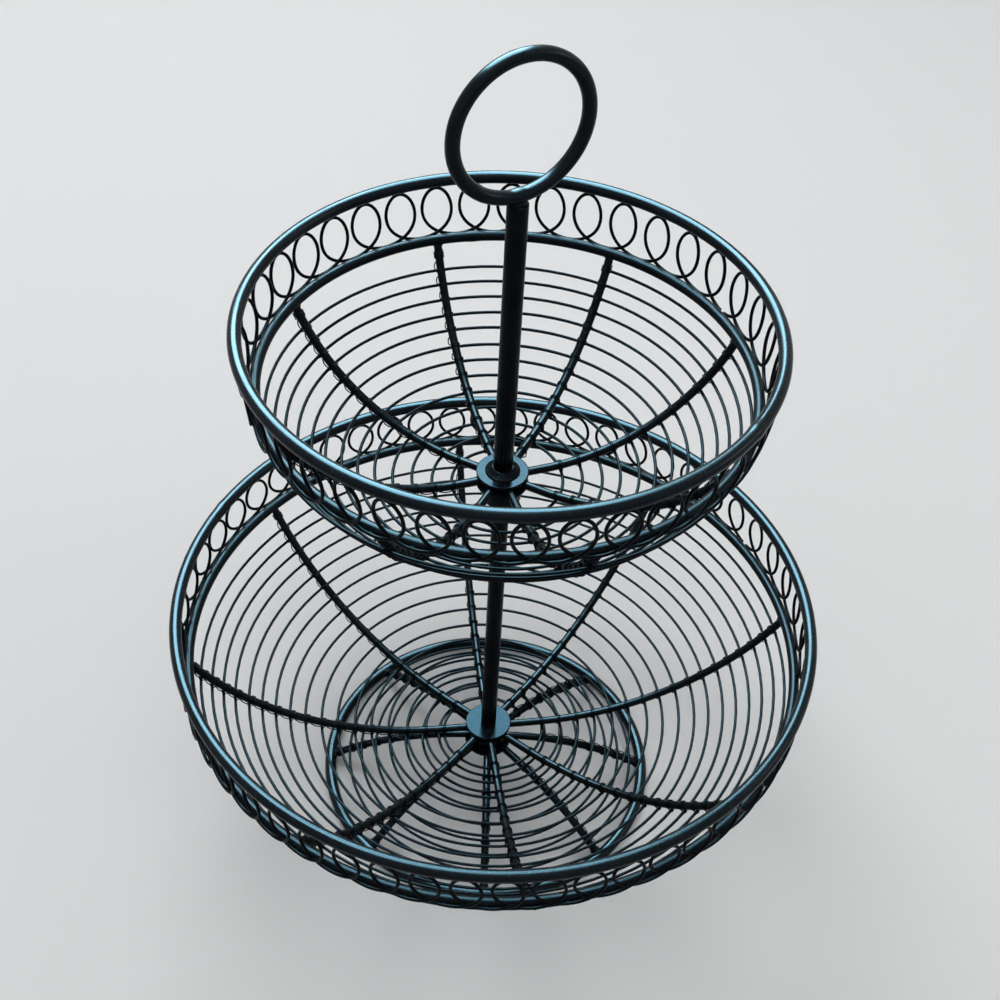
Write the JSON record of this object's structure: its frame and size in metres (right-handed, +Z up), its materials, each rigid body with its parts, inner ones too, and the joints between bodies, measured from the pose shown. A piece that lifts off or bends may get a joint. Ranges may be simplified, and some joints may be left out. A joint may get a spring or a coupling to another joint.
{
  "type": "tiered wire basket",
  "caption": "Tiered wire basket with round bowls of wound wire and looped trim on a central pole, a wound wire foot and a carrying ring on top.",
  "frame": {"origin": "centre of the foot ring, on the surface the basket stands on", "axes": "+Z up along the pole; +X in the plane of the carrying ring; +Y square to it"},
  "size_m": [0.316, 0.316, 0.4251],
  "materials": {
    "wire_paint": "near-black blue-tinted satin-gloss paint on steel wire and rod",
    "fine_wire_paint": "the same near-black paint on thin wire",
    "hub_paint": "near-black gloss paint on flat steel discs",
    "screw_steel": "plain zinc-plated steel"
  },
  "bodies": {
    "root": {"carry_ring": "wire_paint", "foot_disc": "hub_paint", "foot_ring": "wire_paint", "foot_screw": "screw_steel", "foot_spoke_1": "wire_paint", "foot_spoke_2": "wire_paint", "foot_spoke_3": "wire_paint", "foot_spoke_4": "wire_paint", "foot_spoke_5": "wire_paint", "foot_spoke_6": "wire_paint", "foot_spoke_7": "wire_paint", "foot_spoke_8": "wire_paint", "foot_winding": "fine_wire_paint", "hub_collar": "wire_paint", "hub_spacer": "wire_paint", "joining_stud": "screw_steel", "lower_hub_disc": "hub_paint", "lower_looped_trim": "fine_wire_paint", "lower_pole": "wire_paint", "lower_rim": "wire_paint", "lower_second_ring": "wire_paint", "lower_spoke_1": "wire_paint", "lower_spoke_2": "wire_paint", "lower_spoke_3": "wire_paint", "lower_spoke_4": "wire_paint", "lower_spoke_5": "wire_paint", "lower_spoke_6": "wire_paint", "lower_spoke_7": "wire_paint", "lower_spoke_8": "wire_paint", "lower_winding_inner": "fine_wire_paint", "lower_winding_outer": "fine_wire_paint", "pole_flange": "wire_paint", "upper_hub_disc": "hub_paint", "upper_hub_plate": "hub_paint", "upper_looped_trim": "fine_wire_paint", "upper_pole": "wire_paint", "upper_rim": "wire_paint", "upper_second_ring": "wire_paint", "upper_spoke_1": "wire_paint", "upper_spoke_2": "wire_paint", "upper_spoke_3": "wire_paint", "upper_spoke_4": "wire_paint", "upper_spoke_5": "wire_paint", "upper_spoke_6": "wire_paint", "upper_spoke_7": "wire_paint", "upper_spoke_8": "wire_paint", "upper_winding": "fine_wire_paint"}
  },
  "joints": []
}
